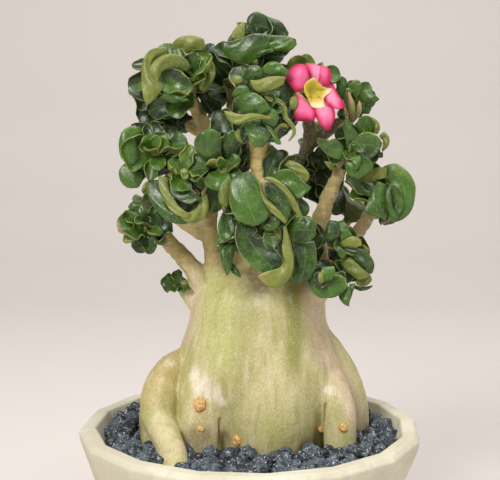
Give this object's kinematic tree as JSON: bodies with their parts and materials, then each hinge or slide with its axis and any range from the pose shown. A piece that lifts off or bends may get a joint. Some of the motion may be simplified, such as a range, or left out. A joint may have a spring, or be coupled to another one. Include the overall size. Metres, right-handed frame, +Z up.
{
  "type": "potted desert rose",
  "caption": "Small tree-like caudex plant with a swollen trunk, heads of curled fleshy leaves and a pink bloom, in a faceted round pot filled with black gravel.",
  "frame": {"origin": "centre of the pot's foot, on the surface that it stands on", "axes": "+Z up along the plant, the longest extent; -Y is the front, the side with the bloom; +X is to the right seen from the front"},
  "size_m": [0.2786, 0.2786, 0.454],
  "materials": {
    "pot": "matte, unglazed",
    "soil": "matte, crumbly",
    "gravel": "matte, rough lava",
    "bark": "satin",
    "leaf": "satin, waxy",
    "petal": "satin",
    "throat": "satin",
    "stalk": "satin",
    "bud": "satin"
  },
  "bodies": {
    "root": {"pot": "pot", "soil": "soil", "gravel": "gravel", "trunk": "bark", "flower_petals": "petal", "flower_throat": "throat", "flower_calyx": "stalk", "buds": "bud", "sprout": "leaf", "head_front": "leaf", "head_middle_left": "leaf", "head_upper_middle": "leaf", "head_top_left": "leaf", "head_left_inner": "leaf", "head_left": "leaf", "head_low_left": "leaf", "head_right": "leaf", "head_far_right": "leaf", "head_low_right": "leaf", "head_low_front": "leaf", "head_low_middle": "leaf", "head_top": "leaf", "head_bloom": "leaf", "head_upper_right": "leaf", "head_back_left": "leaf", "head_inner_top": "leaf", "head_inner_right": "leaf", "head_rear_top": "leaf", "head_rear_right": "leaf", "head_rear_left": "leaf", "head_rear_far_right": "leaf", "head_rear_middle": "leaf", "head_rear_far_left": "leaf"}
  },
  "joints": []
}
